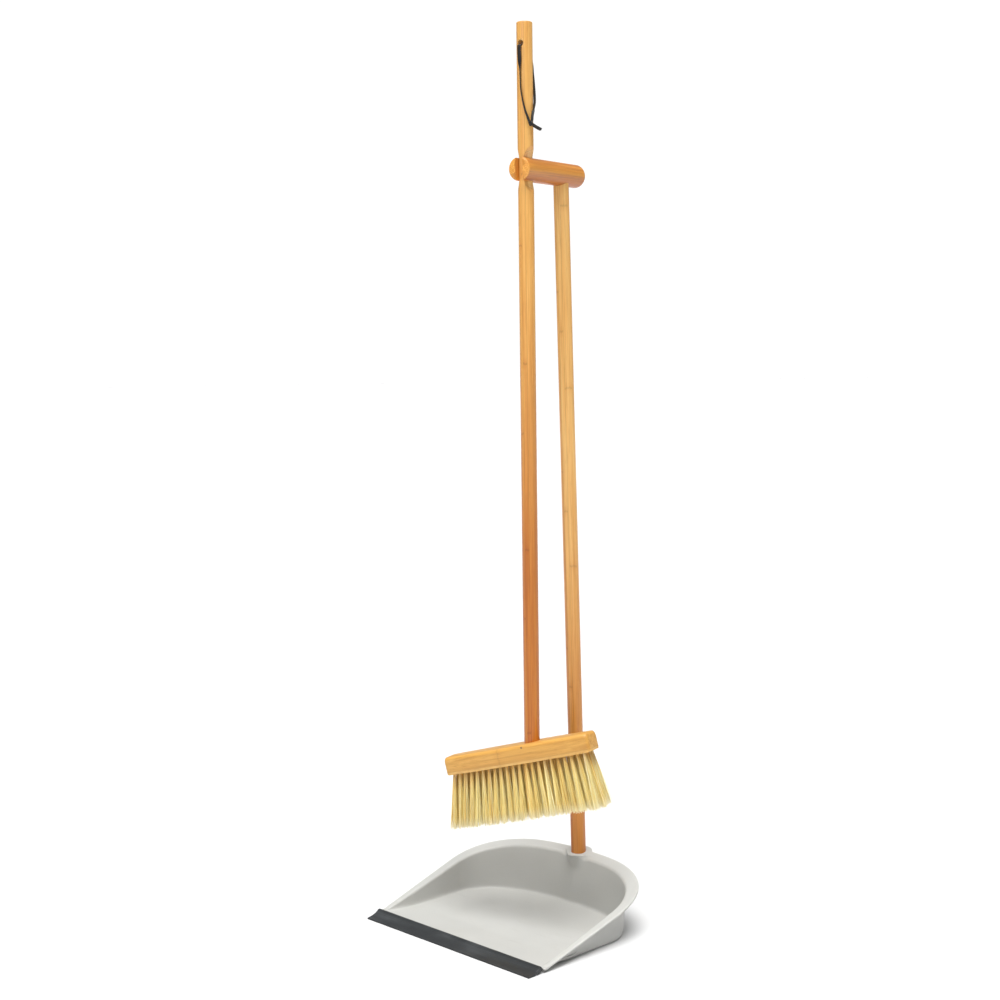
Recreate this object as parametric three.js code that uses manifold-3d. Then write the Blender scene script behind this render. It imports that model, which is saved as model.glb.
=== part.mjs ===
// A long-handled dust pan and brush set. The pan stands on the floor with its opening towards -Y,
// its bamboo handle rises from the back rim, and the brush hangs in a fork at the handle's top.
// Units are millimetres, +Z is up. Model axes: the foot of the pan handle is at x = 0, y = 0.

import * as THREE from 'three';
import { mergeVertices } from 'three/addons/utils/BufferGeometryUtils.js';
import Module from 'manifold-3d';

const wasm = await Module();
wasm.setup();

const GAP = 0.3;
const HANDLE_R = 10;
const HANDLE_SIDES = 40;

// Dust pan: a pressed sheet with a ramp at the front, tapering side walls and an outward flange.
const SHEET = 1.2;
const PAN_FRONT_Y = -224.2;
const TONGUE_FRONT_Y = -232.2;
const RAMP_BACK_Y = -172;
const RAMP_SLOPE = 0.09;
const SIDE_BACK_Y = -95;
const RIM_ZERO_Y = -240.3;
const RIM_SLOPE = 0.29;
const RIM_TOP_Z = 64.5;
const EDGE_TOP_Z = 69.9;
const RIM_BLEND = 1;
const RIM_STEP = 0.6;
const FLOOR_FILLET = 6;
const RIM_BEND = 3;
const HEM_DROP = 3.2;
const CORNER_STEPS = 12;
// Each rail runs round the pan: half widths at the front and at the start of the corner, the
// corner's pull towards the back, and how far back it reaches on the centre line.
const FLOOR_RAIL = { front: 143, side: 142.2, pullY: -48.5, pullX: 93.5, back: -16.5 };
const RIM_RAIL = { front: 144.8, side: 143.5, pullY: -46, pullX: 98, back: -6.7 };
const EDGE_RAIL = { front: 151.7, side: 157.9, pullY: -27.7, pullX: 105, back: 8 };

// Boss in the pan's back rim, which the foot of the handle stands in.
const BOSS_R = 17.5;
const BOSS_TOP_Z = 76;
const BOSS_FOOT_Z = 42;
const BOSS_SLOPE = 0.335;
const BOSS_MID_Z = 67.5;
const SEAT_SHEET = 3.2;
const SCREW_WELL_R = 6.8;
const SCREW_R = 2.4;
const SCREW_LENGTH = 34;
const SCREW_HEAD_R = 5;
const SCREW_HEAD_H = 2.7;
const WASHER_R = 6.3;
const WASHER_H = 1;

// Rubber lip, clipped over the front edge of the sheet.
const LIP_HALF = 150;
const LIP_TIP_Y = -248.5;
const LIP_BEAD_R = 2.6;

// Pan handle and the crosspiece at its top.
const FOOT_Z = 60;
const HANDLE_LEAN = THREE.MathUtils.degToRad(1.46);
const CROSS_HEIGHT = 911.7;
const CROSS_TURN = THREE.MathUtils.degToRad(15);
const CROSS_R = 15;
const CROSS_AHEAD = 108.5;
const CROSS_BEHIND = 42.5;
const CROSS_BACK_ROUND = 4.5;
const CROSS_SIDES = 56;
const DOWEL_R = 4;
const DOWEL_DOWN = 20;
const DOWEL_UP = 18;

// The open slot in the crosspiece, and where the brush handle hangs in it.
const BRUSH_AHEAD = 91;
const SLOT_HALF = 5.15;
const SLOT_END = 8;

// Brush handle: heights are from the middle of its neck, which is level with the crosspiece.
const BRUSH_TOP = 180.8;
const BRUSH_FOOT = -727.1;
const SOCKET_DEPTH = 14;
const TOP_ROUND = 1.6;
const NECK_HALF = 3.5;
const NECK_FLAT = 10;
const SCOOP_R = 28.7;
const NECK_TURN = THREE.MathUtils.degToRad(8.5);
const HOLE_HEIGHT = 154;
const HOLE_R = 4.2;
const HOLE_TURN = THREE.MathUtils.degToRad(11);

// Brush block: its axes start where the handle meets its top, with x along the block.
const BLOCK_TURN = THREE.MathUtils.degToRad(16.2);
const BLOCK_TILT = THREE.MathUtils.degToRad(14.6);
const BLOCK_LENGTH = 219;
const BLOCK_SHIFT = -22.2;
const BLOCK_T = 24;
const BLOCK_MID_HALF = 20;
const BLOCK_END_HALF = 14;
const BLOCK_ROUND = 5;
const NAIL_R = 1;
const NAIL_HEAD_R = 1.5;
const NAIL_HEAD_H = 0.8;
const NAIL_SUNK = 1.4;
const NAIL_LENGTH = 22;
const NAIL_X = -6.2;
const NAIL_Z = -3.2;

// Bristles: columns of tufts along the block, each with a few tufts across it.
const COLUMNS = 22;
const TUFTS_ACROSS = 4;
const ROOT_SPAN = 197;
const TIP_SPAN = 219;
const TIP_SHIFT = -6.5;
const TIP_Z = -95;
const TUFT_R = 2.2;
const TUFT_HOLE_R = 2.5;
const TUFT_HOLE_DEPTH = 7;
const TUFT_EDGE = 5.2;
const TIP_FLARE = 6;

// Hanging lace: one cord through the hole, with both ends in a knot.
const LACE_R = 1.5;
const LACE_SIDES = 8;
const LACE_STEPS = 72;
const KNOT_R = 3;
const KNOT_STRETCH = 1.3;
const KNOT_TURN = 72;
const KNOT_OUT = 14;
const KNOT_HEIGHT = 55.2;
// Turn about the handle in degrees from -Y towards +X, distance from its axis, and height.
const LACE_ROUTE = [
  [62.5, 13.75, 59.1], [57, 12.8, 63.8], [48, 12.05, 69], [38.3, 11.95, 76.4], [30, 11.95, 83.7],
  [23.5, 11.95, 91.1], [18.5, 11.95, 98.4], [16.5, 11.95, 108.2], [14.5, 11.95, 120.4],
  [12, 11.95, 136], [11, 12.2, 147.8], [11, 11.7, 151], [11, 9.5, 151.9], [11, 4, 151.9],
  [191, 4, 151.9], [191, 9.5, 151.9], [191, 11.7, 151], [190.5, 12.2, 147.8], [184, 12, 136],
  [173.5, 11.95, 123.6], [163, 11.95, 111], [154, 11.95, 100.8], [141, 11.95, 89.3],
  [127, 12, 82.5], [111, 12.2, 76.5], [95, 12.7, 69.5], [86, 13.3, 64], [81.5, 13.95, 59.1],
];
// Each tail's two ends, from the middle of the knot.
const TAILS = [
  { name: 'lace_tail_1', from: [3.4, 1.3, -1.8], to: [10.4, 9, -7.9] },
  { name: 'lace_tail_2', from: [1.2, 3.4, -2.1], to: [6.9, 10.3, -7.6] },
];

const PAINT = new THREE.MeshStandardMaterial({ color: 0xcfcec8, roughness: 0.5, metalness: 0.1 });
const RUBBER = new THREE.MeshStandardMaterial({ color: 0x3b3f42, roughness: 0.75, metalness: 0 });
const BAMBOO = new THREE.MeshStandardMaterial({ color: 0xd89a4e, roughness: 0.45, metalness: 0 });
const PALE_WOOD = new THREE.MeshStandardMaterial({ color: 0xe3b671, roughness: 0.5, metalness: 0 });
const BRISTLE = new THREE.MeshStandardMaterial({ color: 0xe9d893, roughness: 0.7, metalness: 0 });
const STEEL = new THREE.MeshStandardMaterial({ color: 0xa8abae, roughness: 0.35, metalness: 0.9 });
const LEATHER = new THREE.MeshStandardMaterial({ color: 0x2b2522, roughness: 0.6, metalness: 0 });

// ---- helpers ----

function solidOf(geometry) {
  const bare = geometry.clone();
  bare.deleteAttribute('normal');
  bare.deleteAttribute('uv');
  const merged = mergeVertices(bare, 1e-4);
  const vertProperties = new Float32Array(merged.attributes.position.array);
  const triVerts = new Uint32Array(merged.index.array);
  return new wasm.Manifold(new wasm.Mesh({ numProp: 3, vertProperties, triVerts }));
}

function geometryOf(solid) {
  const { vertProperties, triVerts } = solid.getMesh();
  const geometry = new THREE.BufferGeometry();
  geometry.setAttribute('position', new THREE.BufferAttribute(vertProperties, 3));
  geometry.setIndex(new THREE.BufferAttribute(triVerts, 1));
  geometry.computeVertexNormals();
  return geometry;
}

function cut(geometry, ...tools) {
  const rest = tools.reduce((solid, tool) => solid.subtract(solidOf(tool)), solidOf(geometry));
  return geometryOf(rest);
}

function join(...geometries) {
  const [first, ...others] = geometries.map(solidOf);
  return geometryOf(others.reduce((solid, other) => solid.add(other), first));
}

function named(name, geometry, material) {
  const mesh = new THREE.Mesh(geometry, material);
  mesh.name = name;
  return mesh;
}

// A round bar along Z from height low to height high.
function bar(radius, low, high, sides = 24) {
  const geometry = new THREE.CylinderGeometry(radius, radius, high - low, sides);
  return geometry.rotateX(Math.PI / 2).translate(0, 0, (low + high) / 2);
}

// A turned solid about Z from a profile of [radius, height] that starts and ends on the axis.
function turned(profile, sides) {
  const points = profile.map(([radius, height]) => new THREE.Vector2(radius, height));
  return new THREE.LatheGeometry(points, sides).rotateX(Math.PI / 2);
}

// An outline of [y, z] points extruded along X, centred on x = 0.
function acrossX(outline, width) {
  const shape = new THREE.Shape(outline.map(([y, z]) => new THREE.Vector2(y, z)));
  const geometry = new THREE.ExtrudeGeometry(shape, { depth: width, bevelEnabled: false });
  const turn = new THREE.Matrix4().makeBasis(
    new THREE.Vector3(0, 1, 0),
    new THREE.Vector3(0, 0, 1),
    new THREE.Vector3(1, 0, 0),
  );
  return geometry.applyMatrix4(turn).translate(-width / 2, 0, 0);
}

// ---- frames shared by neighbouring parts ----

// The pan handle's axes: its foot at the origin, z up along the leaning handle.
const panHandleFrame = new THREE.Matrix4()
  .makeRotationX(HANDLE_LEAN)
  .setPosition(0, 0, FOOT_Z);

// The crosspiece's axes within the handle's: -y along its front end, z still along the handle.
const crossFrame = new THREE.Matrix4()
  .makeRotationZ(CROSS_TURN)
  .setPosition(0, 0, CROSS_HEIGHT);

// The block's axes within the brush's.
const blockFrame = new THREE.Matrix4()
  .makeRotationZ(BLOCK_TURN)
  .multiply(new THREE.Matrix4().makeRotationY(-BLOCK_TILT))
  .setPosition(0, 0, BRUSH_FOOT);

// ---- dust pan ----

function floorTop(y) {
  return SHEET + Math.max(0, RAMP_BACK_Y - y) * RAMP_SLOPE;
}

// The top of the wall and the flange's edge climb from the front along one slope, and each levels
// off at its own height near the back.
function rimHeight(y, topZ) {
  const climb = RIM_SLOPE * (y - RIM_ZERO_Y);
  const level = (climb + topZ) / 2 - Math.hypot((climb - topZ) / 2, RIM_BLEND);
  return Math.max(level, floorTop(y) + RIM_STEP);
}

// Right half of a rail, from the middle of the back to the front corner.
function halfRail(rail) {
  const corner = new THREE.CubicBezierCurve(
    new THREE.Vector2(0, rail.back),
    new THREE.Vector2(rail.pullX, rail.back),
    new THREE.Vector2(rail.side, rail.pullY),
    new THREE.Vector2(rail.side, SIDE_BACK_Y),
  ).getPoints(CORNER_STEPS);
  const sideStops = [-134, RAMP_BACK_Y, -192, -208, PAN_FRONT_Y];
  const side = sideStops.map((y) => {
    const share = (y - SIDE_BACK_Y) / (PAN_FRONT_Y - SIDE_BACK_Y);
    return new THREE.Vector2(THREE.MathUtils.lerp(rail.side, rail.front, share), y);
  });
  return [...corner, ...side];
}

// A whole rail, from the front left corner round the back to the front right corner.
function wholeRail(rail) {
  const right = halfRail(rail);
  const left = right.slice(1).map((point) => new THREE.Vector2(-point.x, point.y));
  return [...left.reverse(), ...right];
}

// A rounded corner at b between a and c, as a few points that keep off by a length along each leg.
function roundCorner(a, b, c, reach, steps = 3) {
  const before = b.clone().lerp(a, Math.min(0.45, reach / b.distanceTo(a)));
  const after = b.clone().lerp(c, Math.min(0.45, reach / b.distanceTo(c)));
  return new THREE.QuadraticBezierCurve(before, b, after).getPoints(steps);
}

// One cross-section of the pan's wall and flange, as a closed loop of 3-D points.
function wallSection(floor, rim, edge, outward) {
  const toPlane = (point, z) => new THREE.Vector2(point.clone().sub(rim).dot(outward), z);
  const start = toPlane(floor, floorTop(floor.y));
  start.x -= FLOOR_FILLET;
  const foot = toPlane(floor, floorTop(floor.y));
  const top = toPlane(rim, rimHeight(rim.y, RIM_TOP_Z));
  const out = toPlane(edge, rimHeight(edge.y, EDGE_TOP_Z));
  const hem = new THREE.Vector2(out.x, out.y - Math.min(HEM_DROP, out.y - SHEET - RIM_STEP));
  const inner = [
    start,
    ...roundCorner(start, foot, top, FLOOR_FILLET),
    ...roundCorner(foot, top, out, RIM_BEND),
    ...roundCorner(top, out, hem, HEM_DROP / 2),
    hem,
  ];
  const outer = inner.map((point, i) => {
    const next = inner[Math.min(i + 1, inner.length - 1)];
    const last = inner[Math.max(i - 1, 0)];
    const along = next.clone().sub(last).normalize();
    return new THREE.Vector2(point.x + along.y * SHEET, point.y - along.x * SHEET);
  });
  return [...inner, ...outer.reverse()].map((point) => new THREE.Vector3(
    rim.x + outward.x * point.x,
    rim.y + outward.y * point.x,
    point.y,
  ));
}

function railNormals(points) {
  return points.map((point, i) => {
    const next = points[Math.min(i + 1, points.length - 1)];
    const last = points[Math.max(i - 1, 0)];
    const along = next.clone().sub(last).normalize();
    return new THREE.Vector2(-along.y, along.x);
  });
}

// The walls and flange as a row of sections, the floor as strips from the left half of the row to
// the right half, and a tongue that runs on at the front, all in one closed skin.
function panShell() {
  const [floor, rim, edge] = [FLOOR_RAIL, RIM_RAIL, EDGE_RAIL].map(wholeRail);
  const outward = railNormals(rim);
  const sections = rim.map((point, i) => wallSection(floor[i], point, edge[i], outward[i]));
  const count = sections[0].length;
  const last = sections.length - 1;
  const middle = last / 2;
  const [top, bottom] = [0, count - 1];
  const tongue = [sections[0][top], sections[last][top]].flatMap((point) => {
    const z = floorTop(TONGUE_FRONT_Y);
    return [
      new THREE.Vector3(point.x, TONGUE_FRONT_Y, z),
      new THREE.Vector3(point.x, TONGUE_FRONT_Y, z - SHEET),
    ];
  });
  const index = [];
  const quad = (a, b, c, d) => index.push(a, b, c, a, c, d);
  for (let s = 0; s < last; s += 1) {
    for (let i = top; i < bottom; i += 1) {
      const a = s * count + i;
      quad(a, a + count, a + count + 1, a + 1);
    }
  }
  for (let i = 0; i < count / 2 - 1; i += 1) {
    const right = last * count;
    quad(i, i + 1, count - 2 - i, count - 1 - i);
    quad(right + i, right + count - 1 - i, right + count - 2 - i, right + i + 1);
  }
  for (let j = 0; j < middle; j += 1) {
    const [nearRight, nearLeft] = [middle + j, middle - j].map((s) => s * count);
    const [farRight, farLeft] = [middle + j + 1, middle - j - 1].map((s) => s * count);
    index.push(nearRight + top, farLeft + top, farRight + top);
    index.push(nearRight + bottom, farRight + bottom, farLeft + bottom);
    if (j > 0) {
      index.push(nearRight + top, nearLeft + top, farLeft + top);
      index.push(nearRight + bottom, farLeft + bottom, nearLeft + bottom);
    }
  }
  const [leftTop, leftBottom] = [top, bottom];
  const [rightTop, rightBottom] = [last * count + top, last * count + bottom];
  const [tipLeftTop, tipLeftBottom, tipRightTop, tipRightBottom] = [0, 1, 2, 3]
    .map((i) => sections.length * count + i);
  quad(rightTop, leftTop, tipLeftTop, tipRightTop);
  quad(leftBottom, rightBottom, tipRightBottom, tipLeftBottom);
  quad(tipRightTop, tipLeftTop, tipLeftBottom, tipRightBottom);
  quad(leftTop, leftBottom, tipLeftBottom, tipLeftTop);
  quad(rightBottom, rightTop, tipRightTop, tipRightBottom);
  const geometry = new THREE.BufferGeometry();
  geometry.setFromPoints([...sections.flat(), ...tongue]);
  geometry.setIndex(index);
  return geometry;
}

function panBoss() {
  const body = turned([
    [0, BOSS_FOOT_Z],
    [7.5, BOSS_FOOT_Z],
    [11.5, BOSS_FOOT_Z + 4],
    [15.5, BOSS_FOOT_Z + 11],
    [BOSS_R, BOSS_FOOT_Z + 19],
    [BOSS_R, BOSS_TOP_Z],
    [0, BOSS_TOP_Z],
  ], 32);
  const above = new THREE.BoxGeometry(60, 60, 40).translate(0, 0, 20);
  above.rotateX(Math.atan(BOSS_SLOPE)).translate(0, 0, BOSS_MID_Z);
  return cut(body, above);
}

function dustPan() {
  const seat = bar(HANDLE_R + GAP, -GAP, 30, HANDLE_SIDES).applyMatrix4(panHandleFrame);
  const screwHole = bar(SCREW_R + GAP, -10, 5, 16).applyMatrix4(panHandleFrame);
  const well = bar(SCREW_WELL_R, -40, -GAP - SEAT_SHEET, 24).applyMatrix4(panHandleFrame);
  const shell = join(panShell(), panBoss());
  return named('dust_pan', cut(shell, seat, screwHole, well), PAINT);
}

// The lip's section: a round bead over the sheet's edge, a hollow curve and a thin blade.
function rubberLip() {
  const back = PAN_FRONT_Y - GAP;
  const grooveEnd = TONGUE_FRONT_Y - GAP;
  const under = (y) => floorTop(y) - SHEET - GAP;
  const over = (y) => floorTop(y) + GAP;
  const beadY = back - LIP_BEAD_R - 0.4;
  const beadZ = over(beadY) + 0.2;
  const bead = [0, 30, 60, 90, 120, 150].map((degrees) => {
    const angle = THREE.MathUtils.degToRad(degrees);
    return [beadY + LIP_BEAD_R * Math.cos(angle), beadZ + LIP_BEAD_R * Math.sin(angle)];
  });
  const hollow = new THREE.QuadraticBezierCurve(
    new THREE.Vector2(grooveEnd - 1.2, beadZ + 0.4),
    new THREE.Vector2(grooveEnd - 3.5, 2.6),
    new THREE.Vector2(LIP_TIP_Y, 1),
  ).getPoints(5).map((point) => [point.x, point.y]);
  const section = [
    [back, over(back)],
    ...bead,
    ...hollow,
    [LIP_TIP_Y, 0],
    [grooveEnd - 4, 0],
    [back - 3, under(back) - 2.2],
    [back, under(back) - 1.2],
    [back, under(back)],
    [grooveEnd, under(grooveEnd)],
    [grooveEnd, over(grooveEnd)],
  ];
  return named('rubber_lip', acrossX(section.reverse(), 2 * LIP_HALF), RUBBER);
}

// ---- pan handle, its screw, and the crosspiece ----

function panHandle() {
  const rod = turned([
    [0, 0],
    [HANDLE_R - 0.8, 0],
    [HANDLE_R, 0.8],
    [HANDLE_R, CROSS_HEIGHT],
    [0, CROSS_HEIGHT],
  ], HANDLE_SIDES);
  const cross = bar(CROSS_R + GAP, -60, 60, CROSS_SIDES).rotateX(Math.PI / 2);
  const dowel = bar(DOWEL_R + GAP, -CROSS_R - DOWEL_DOWN - GAP, 0);
  const pilot = bar(SCREW_R + GAP, -1, SCREW_LENGTH, 16);
  const geometry = cut(
    rod,
    cross.applyMatrix4(crossFrame),
    dowel.applyMatrix4(crossFrame),
    pilot,
  );
  return named('pan_handle', geometry, BAMBOO);
}

function handleScrew() {
  const head = -GAP - SEAT_SHEET - GAP - WASHER_H - GAP;
  const screw = turned([
    [0, head - SCREW_HEAD_H],
    [SCREW_HEAD_R * 0.6, head - SCREW_HEAD_H],
    [SCREW_HEAD_R, head - SCREW_HEAD_H * 0.4],
    [SCREW_HEAD_R, head],
    [SCREW_R, head],
    [SCREW_R, SCREW_LENGTH - 7],
    [SCREW_R * 0.3, SCREW_LENGTH - 2],
    [0, SCREW_LENGTH - 2],
  ], 20);
  return named('handle_screw', screw, STEEL);
}

function handleWasher() {
  const top = -GAP - SEAT_SHEET - GAP;
  const ring = bar(WASHER_R, top - WASHER_H, top, 28);
  return named('handle_washer', cut(ring, bar(SCREW_R + GAP, top - 5, top + 5, 16)), STEEL);
}

function crosspiece() {
  const arc = [90, 72, 54, 36, 18, 0].map((degrees) => {
    const angle = THREE.MathUtils.degToRad(degrees);
    return [
      CROSS_R - CROSS_BACK_ROUND + CROSS_BACK_ROUND * Math.cos(angle),
      -CROSS_BEHIND + CROSS_BACK_ROUND - CROSS_BACK_ROUND * Math.sin(angle),
    ];
  });
  const body = turned([
    [0, -CROSS_BEHIND],
    ...arc,
    [CROSS_R, CROSS_AHEAD - 1.2],
    [CROSS_R - 1.2, CROSS_AHEAD],
    [0, CROSS_AHEAD],
  ], CROSS_SIDES).rotateX(Math.PI / 2);
  const slotLength = CROSS_AHEAD - BRUSH_AHEAD + SLOT_END + 10;
  const slotBox = new THREE.BoxGeometry(2 * SLOT_HALF, slotLength, 4 * CROSS_R);
  slotBox.translate(0, -BRUSH_AHEAD + SLOT_END - slotLength / 2, 0);
  const slotRound = bar(SLOT_HALF, -2 * CROSS_R, 2 * CROSS_R, 24);
  slotRound.translate(0, -BRUSH_AHEAD + SLOT_END, 0);
  const dowel = bar(DOWEL_R + GAP, -2 * CROSS_R, DOWEL_UP - CROSS_R + GAP);
  return named('crosspiece', cut(body, join(slotBox, slotRound), dowel), BAMBOO);
}

function crosspieceDowel() {
  const bottom = -CROSS_R - DOWEL_DOWN;
  const top = DOWEL_UP - CROSS_R;
  const dowel = turned([
    [0, bottom],
    [DOWEL_R - 0.8, bottom],
    [DOWEL_R, bottom + 1.5],
    [DOWEL_R, top - 1.5],
    [DOWEL_R - 0.8, top],
    [0, top],
  ], 16);
  return named('crosspiece_dowel', dowel, PALE_WOOD);
}

// ---- brush ----

// The material taken off one side of the handle to leave the flat neck that fits the slot.
function scoop() {
  const profile = [];
  for (let degrees = -40; degrees <= 40; degrees += 5) {
    const angle = THREE.MathUtils.degToRad(degrees);
    const z = SCOOP_R * Math.sin(angle) + Math.sign(degrees) * NECK_FLAT;
    profile.push(new THREE.Vector2(NECK_HALF + SCOOP_R * (1 - Math.cos(angle)), z));
  }
  const reach = NECK_FLAT + SCOOP_R;
  const shape = new THREE.Shape([
    ...profile,
    new THREE.Vector2(reach, profile[profile.length - 1].y),
    new THREE.Vector2(reach, profile[0].y),
  ]);
  const deep = 3 * HANDLE_R;
  const geometry = new THREE.ExtrudeGeometry(shape, { depth: deep, bevelEnabled: false });
  return geometry.translate(0, 0, -deep / 2).rotateX(Math.PI / 2);
}

// The nail's axis and its hole, in the block's axes: it points from the front edge to the handle.
function alongNail(geometry) {
  const from = new THREE.Vector3(NAIL_X, -BLOCK_MID_HALF, NAIL_Z);
  const to = new THREE.Vector3(0, 0, NAIL_Z - 2);
  const along = to.sub(from).normalize();
  const turn = new THREE.Quaternion().setFromUnitVectors(new THREE.Vector3(0, 0, 1), along);
  return geometry.applyQuaternion(turn).translate(from.x, from.y, from.z);
}

// The nail's head is sunk in a wider, shallow hole.
function nailHole() {
  const wide = bar(NAIL_HEAD_R + GAP, -6, NAIL_SUNK + GAP, 12);
  return alongNail(join(wide, bar(NAIL_R + GAP, 0, NAIL_LENGTH + 1, 10)));
}

function brushHandle() {
  const foot = BRUSH_FOOT - SOCKET_DEPTH;
  const rod = turned([
    [0, foot],
    [HANDLE_R, foot],
    [HANDLE_R, BRUSH_TOP - TOP_ROUND],
    [HANDLE_R - TOP_ROUND * 0.35, BRUSH_TOP - TOP_ROUND * 0.35],
    [HANDLE_R - TOP_ROUND, BRUSH_TOP],
    [0, BRUSH_TOP],
  ], HANDLE_SIDES);
  const rightScoop = scoop().rotateZ(NECK_TURN);
  const leftScoop = scoop().rotateZ(Math.PI + NECK_TURN);
  const hole = bar(HOLE_R, -2 * HANDLE_R, 2 * HANDLE_R, 20).rotateX(Math.PI / 2);
  hole.rotateZ(HOLE_TURN).translate(0, 0, HOLE_HEIGHT);
  const nail = nailHole().applyMatrix4(blockFrame);
  return named('brush_handle', cut(rod, rightScoop, leftScoop, hole, nail), BAMBOO);
}

// Half width of the block at a distance x from its middle: widest in the middle.
function blockHalf(x) {
  const share = x / (BLOCK_LENGTH / 2);
  return BLOCK_MID_HALF - (BLOCK_MID_HALF - BLOCK_END_HALF) * share * share;
}

function blockBody() {
  const end = BLOCK_LENGTH / 2 - BLOCK_ROUND;
  const stations = 14;
  const side = [];
  for (let i = 0; i <= stations; i += 1) {
    const x = -end + (2 * end * i) / stations;
    const taper = i === 0 || i === stations ? 1.5 : 0;
    side.push(new THREE.Vector2(x, -blockHalf(x) + BLOCK_ROUND + taper));
  }
  const back = side.map((point) => new THREE.Vector2(-point.x, -point.y));
  const shape = new THREE.Shape([...side, ...back]);
  const below = BLOCK_ROUND + 1;
  const geometry = new THREE.ExtrudeGeometry(shape, {
    depth: BLOCK_T - BLOCK_ROUND + below - BLOCK_ROUND,
    bevelSize: BLOCK_ROUND,
    bevelThickness: BLOCK_ROUND,
    bevelSegments: 4,
  });
  geometry.translate(0, 0, -BLOCK_T - below + BLOCK_ROUND);
  const bottom = new THREE.BoxGeometry(2 * BLOCK_LENGTH, 4 * BLOCK_MID_HALF, 40);
  bottom.translate(0, 0, -BLOCK_T - 20);
  return cut(geometry, bottom);
}

// Places across the block of one column's tufts.
function tuftPlaces(x) {
  const reach = blockHalf(x) - TUFT_EDGE;
  return Array.from({ length: TUFTS_ACROSS }, (_, row) => (
    reach * ((2 * row) / (TUFTS_ACROSS - 1) - 1)
  ));
}

function columnPlace(column) {
  return ROOT_SPAN * (column / (COLUMNS - 1) - 0.5);
}

function brushBlock() {
  const body = blockBody();
  const tools = [];
  for (let column = 0; column < COLUMNS; column += 1) {
    const x = columnPlace(column);
    for (const y of tuftPlaces(x)) {
      const hole = bar(TUFT_HOLE_R, -BLOCK_T - 2, -BLOCK_T + TUFT_HOLE_DEPTH, 8);
      tools.push(hole.translate(x, y, 0));
    }
  }
  const drilled = cut(body, ...tools).translate(BLOCK_SHIFT, 0, 0);
  const socket = bar(HANDLE_R + GAP, -SOCKET_DEPTH - GAP, 30, HANDLE_SIDES);
  socket.rotateY(BLOCK_TILT);
  return named('brush_block', cut(drilled, socket, nailHole()), PALE_WOOD);
}

function blockNail() {
  const nail = turned([
    [0, NAIL_SUNK - NAIL_HEAD_H],
    [NAIL_HEAD_R, NAIL_SUNK - NAIL_HEAD_H],
    [NAIL_HEAD_R, NAIL_SUNK],
    [NAIL_R, NAIL_SUNK],
    [NAIL_R, NAIL_LENGTH - 3],
    [0, NAIL_LENGTH],
  ], 10);
  return nail;
}

// One column of tufts: round roots in the block that open into one flaring wedge of bristle.
function bristleColumn(column) {
  const rootX = columnPlace(column);
  const tipX = (rootX * TIP_SPAN) / ROOT_SPAN + TIP_SHIFT;
  const tipHalf = TIP_SPAN / (COLUMNS - 1) / 2 - GAP;
  const rootZ = -BLOCK_T - GAP;
  const rootHalfY = blockHalf(rootX) - TUFT_EDGE + TUFT_R;
  const wedge = new THREE.BoxGeometry(1, 1, 1);
  const position = wedge.attributes.position;
  for (let i = 0; i < position.count; i += 1) {
    const atTip = position.getZ(i) < 0;
    const halfX = atTip ? tipHalf : TUFT_R;
    const halfY = atTip ? rootHalfY + TIP_FLARE : rootHalfY;
    const x = (atTip ? tipX : rootX) + 2 * halfX * position.getX(i);
    position.setXYZ(i, x, 2 * halfY * position.getY(i), atTip ? TIP_Z : rootZ);
  }
  const roots = tuftPlaces(rootX).map((y) => (
    bar(TUFT_R, rootZ - 2, -BLOCK_T + TUFT_HOLE_DEPTH - GAP, 8).translate(rootX, y, 0)
  ));
  const name = `bristle_column_${String(column + 1).padStart(2, '0')}`;
  return named(name, join(wedge, ...roots).translate(BLOCK_SHIFT, 0, 0), BRISTLE);
}

// ---- hanging lace ----

function roundHandle([turn, out, height]) {
  const angle = THREE.MathUtils.degToRad(turn);
  return new THREE.Vector3(out * Math.sin(angle), -out * Math.cos(angle), height);
}

function laceTube(points, radius, steps) {
  const section = new THREE.Shape();
  for (let i = 0; i < LACE_SIDES; i += 1) {
    const angle = (2 * Math.PI * i) / LACE_SIDES;
    const [x, y] = [radius * Math.cos(angle), radius * Math.sin(angle)];
    if (i === 0) section.moveTo(x, y);
    else section.lineTo(x, y);
  }
  const extrudePath = new THREE.CatmullRomCurve3(points);
  return new THREE.ExtrudeGeometry(section, { steps, extrudePath, bevelEnabled: false });
}

function lace() {
  return named('lace', laceTube(LACE_ROUTE.map(roundHandle), LACE_R, LACE_STEPS), LEATHER);
}

const knotPlace = roundHandle([KNOT_TURN, KNOT_OUT, KNOT_HEIGHT]);

function laceKnot() {
  const knot = new THREE.SphereGeometry(KNOT_R, 14, 10).rotateX(Math.PI / 2);
  knot.scale(1, 1, KNOT_STRETCH);
  return named('lace_knot', knot.translate(...knotPlace.toArray()), LEATHER);
}

function laceTail({ name, from, to }) {
  const [start, end] = [from, to].map((place) => new THREE.Vector3(...place).add(knotPlace));
  const middle = start.clone().lerp(end, 0.5);
  return named(name, laceTube([start, middle, end], LACE_R * 0.8, 3), LEATHER);
}

// ---- assembly ----

function handleGroup() {
  const group = new THREE.Group();
  group.rotation.x = HANDLE_LEAN;
  group.position.z = FOOT_Z;
  group.add(panHandle(), handleScrew(), handleWasher());
  const top = new THREE.Group();
  top.rotation.z = CROSS_TURN;
  top.position.z = CROSS_HEIGHT;
  top.add(crosspiece(), crosspieceDowel());
  group.add(top);
  return group;
}

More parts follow.
